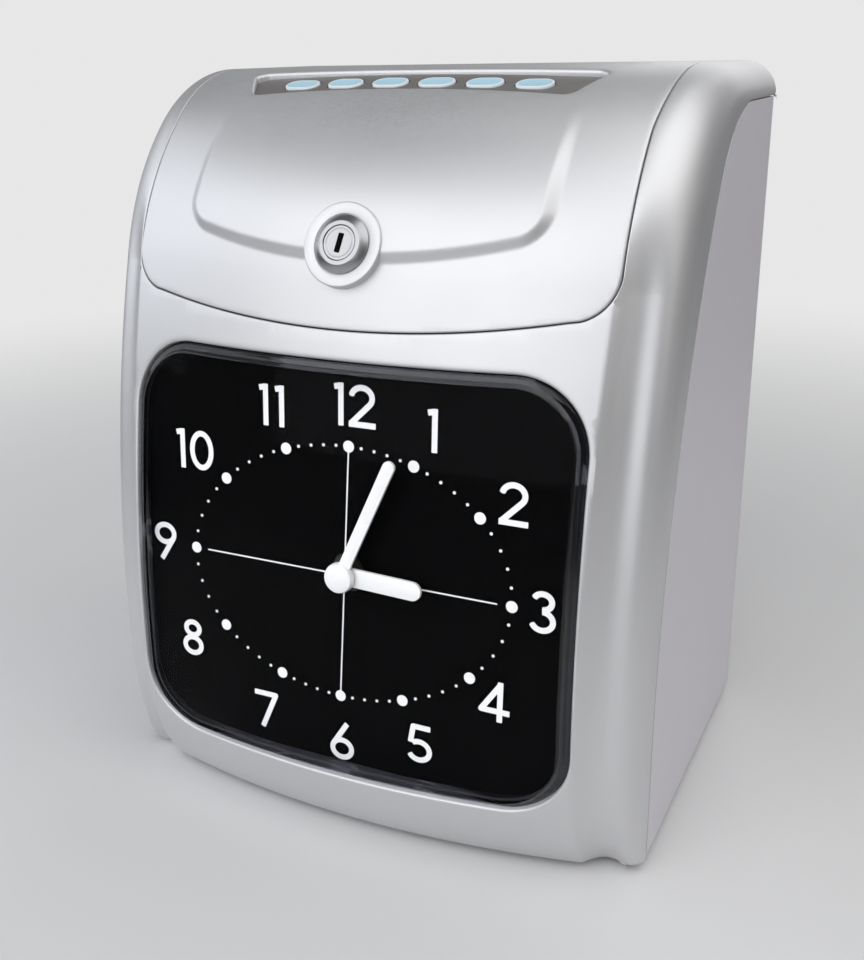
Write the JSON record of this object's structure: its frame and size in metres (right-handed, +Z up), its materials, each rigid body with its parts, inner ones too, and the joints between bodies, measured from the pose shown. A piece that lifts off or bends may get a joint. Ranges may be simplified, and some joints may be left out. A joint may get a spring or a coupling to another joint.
{
  "type": "time clock",
  "caption": "Punch-card time recorder: silver shell with a lockable hinged top cover, analogue dial behind a clear window, function keys and a print unit over a card pocket",
  "frame": {"origin": "on the table plane under the middle of the body's bounding box", "axes": "+X to the right seen from the front, +Y from the face to the back wall, +Z up"},
  "size_m": [0.206, 0.168, 0.257],
  "materials": {
    "silver_shell": "satin silver paint with a fine metallic flake",
    "grey_housing": "plain moulded grey, fine texture",
    "rubber_black": "matt",
    "steel": "zinc plated",
    "lens_clear": "clear polished acrylic",
    "dial_black": "black with white print",
    "black_plastic": "moulded",
    "gear_plastic": "natural acetal",
    "brass": "turned",
    "hand_white": "white lacquer",
    "motor_can": "drawn can",
    "lock_chrome": "polished",
    "key_blue": "light blue caps",
    "board_green": "solder mask",
    "chip_black": "moulded parts",
    "head_alloy": "die cast",
    "ribbon_ink": "inked",
    "knob_blue": "moulded",
    "guide_grey": "moulded",
    "battery_wrap": "shrink wrap",
    "core_steel": "varnished laminations"
  },
  "bodies": {
    "case": {"front_cover": "silver_shell", "rear_housing": "grey_housing", "rubber_feet": "rubber_black", "belt": "rubber_black", "housing_screws": "steel", "frame_screws": "steel", "hinge_pins": "steel", "lock_catch": "steel", "print_frame": "steel", "carriage_rods": "steel", "idler_post": "steel", "window_lens": "lens_clear", "dial_plate": "dial_black", "dial_frame": "black_plastic", "movement_case": "black_plastic", "movement_back": "black_plastic", "ribbon_cartridge": "black_plastic", "power_inlet": "black_plastic", "dial_nut": "brass", "clock_motor": "motor_can", "carriage_motor": "motor_can", "feed_motor": "motor_can", "main_board": "board_green", "board_parts": "chip_black", "ribbon": "ribbon_ink", "card_guide": "guide_grey", "backup_battery": "battery_wrap", "transformer": "core_steel"},
    "cover": {"top_cover": "silver_shell", "lock_barrel": "lock_chrome", "lock_nut": "steel", "key_board": "board_green", "key_switches": "black_plastic"},
    "lock_core": {"lock_plug": "lock_chrome", "lock_cam": "steel", "cam_screw": "steel"},
    "minute_train": {"minute_arbor": "brass", "drive_wheel": "gear_plastic", "minute_hand": "hand_white"},
    "minute_wheel": {"minute_wheel": "gear_plastic"},
    "hour_train": {"hour_wheel": "gear_plastic", "hour_hand": "hand_white"},
    "clock_pinion": {"clock_pinion": "brass"},
    "carriage": {"carriage": "black_plastic", "print_head": "head_alloy"},
    "motor_pulley": {"motor_pulley": "gear_plastic"},
    "idler_pulley": {"idler_pulley": "gear_plastic"},
    "ribbon_knob": {"ribbon_knob": "knob_blue"},
    "feed_roll": {"feed_shaft": "steel", "feed_rollers": "rubber_black", "feed_gear": "gear_plastic"},
    "feed_pinion": {"feed_pinion": "brass"},
    "key_1": {"key_1": "key_blue"},
    "key_2": {"key_2": "key_blue"},
    "key_3": {"key_3": "key_blue"},
    "key_4": {"key_4": "key_blue"},
    "key_5": {"key_5": "key_blue"},
    "key_6": {"key_6": "key_blue"}
  },
  "joints": [
    {"name": "cover_lift", "type": "hinge", "parent": "case", "child": "cover", "pos_m": [0, 0.02473, 0.2544], "axis": [-1, 0, 0], "range_deg": [0, 75]},
    {"name": "lock_turn", "type": "hinge", "parent": "cover", "child": "lock_core", "pos_m": [0, -0.05648, 0.20591], "axis": [0, 0.9178, -0.3971], "range_deg": [0, 90]},
    {"name": "minute_turn", "type": "hinge", "parent": "case", "child": "minute_train", "pos_m": [0, -0.06324, 0.098], "axis": [0, 0.9962, -0.0872], "continuous": true},
    {"name": "minute_wheel_turn", "type": "hinge", "parent": "case", "child": "minute_wheel", "pos_m": [0, -0.0622, 0.10995], "axis": [0, 0.9962, -0.0872], "continuous": true},
    {"name": "hour_turn", "type": "hinge", "parent": "case", "child": "hour_train", "pos_m": [0, -0.06324, 0.098], "axis": [0, 0.9962, -0.0872], "continuous": true},
    {"name": "clock_pinion_turn", "type": "hinge", "parent": "case", "child": "clock_pinion", "pos_m": [0, -0.06481, 0.08007], "axis": [0, 0.9962, -0.0872], "continuous": true},
    {"name": "carriage_slide", "type": "slide", "parent": "case", "child": "carriage", "axis": [1, 0, 0], "range_m": [-0.024, 0.024]},
    {"name": "motor_pulley_turn", "type": "hinge", "parent": "case", "child": "motor_pulley", "pos_m": [-0.044, 0.00003, 0.224], "axis": [0, 0, 1], "range_deg": [-216, 216]},
    {"name": "idler_pulley_turn", "type": "hinge", "parent": "case", "child": "idler_pulley", "pos_m": [0.044, 0.00003, 0.224], "axis": [0, 0, 1], "range_deg": [-216, 216]},
    {"name": "knob_turn", "type": "hinge", "parent": "case", "child": "ribbon_knob", "pos_m": [0.03, -0.01797, 0.222], "axis": [0, 0, 1], "continuous": true},
    {"name": "feed_turn", "type": "hinge", "parent": "case", "child": "feed_roll", "pos_m": [0, 0.04313, 0.186], "axis": [1, 0, 0], "continuous": true},
    {"name": "feed_pinion_turn", "type": "hinge", "parent": "case", "child": "feed_pinion", "pos_m": [0, 0.02393, 0.186], "axis": [1, 0, 0], "continuous": true},
    {"name": "key_1_press", "type": "slide", "parent": "cover", "child": "key_1", "axis": [0, 0.2756, -0.9613], "range_m": [0, 0.0012], "stiffness_N_per_m": 600, "springref_m": -0.0012},
    {"name": "key_2_press", "type": "slide", "parent": "cover", "child": "key_2", "axis": [0, 0.2756, -0.9613], "range_m": [0, 0.0012], "stiffness_N_per_m": 600, "springref_m": -0.0012},
    {"name": "key_3_press", "type": "slide", "parent": "cover", "child": "key_3", "axis": [0, 0.2756, -0.9613], "range_m": [0, 0.0012], "stiffness_N_per_m": 600, "springref_m": -0.0012},
    {"name": "key_4_press", "type": "slide", "parent": "cover", "child": "key_4", "axis": [0, 0.2756, -0.9613], "range_m": [0, 0.0012], "stiffness_N_per_m": 600, "springref_m": -0.0012},
    {"name": "key_5_press", "type": "slide", "parent": "cover", "child": "key_5", "axis": [0, 0.2756, -0.9613], "range_m": [0, 0.0012], "stiffness_N_per_m": 600, "springref_m": -0.0012},
    {"name": "key_6_press", "type": "slide", "parent": "cover", "child": "key_6", "axis": [0, 0.2756, -0.9613], "range_m": [0, 0.0012], "stiffness_N_per_m": 600, "springref_m": -0.0012}
  ],
  "couplings": [
    {"joint": "minute_wheel_turn", "follows": "minute_turn", "ratio": -0.33333},
    {"joint": "hour_turn", "follows": "minute_turn", "ratio": 0.083333},
    {"joint": "clock_pinion_turn", "follows": "minute_turn", "ratio": -5},
    {"joint": "motor_pulley_turn", "follows": "carriage_slide", "rad_per_m": -155.04},
    {"joint": "idler_pulley_turn", "follows": "carriage_slide", "rad_per_m": -155.04},
    {"joint": "feed_pinion_turn", "follows": "feed_turn", "ratio": -3}
  ]
}
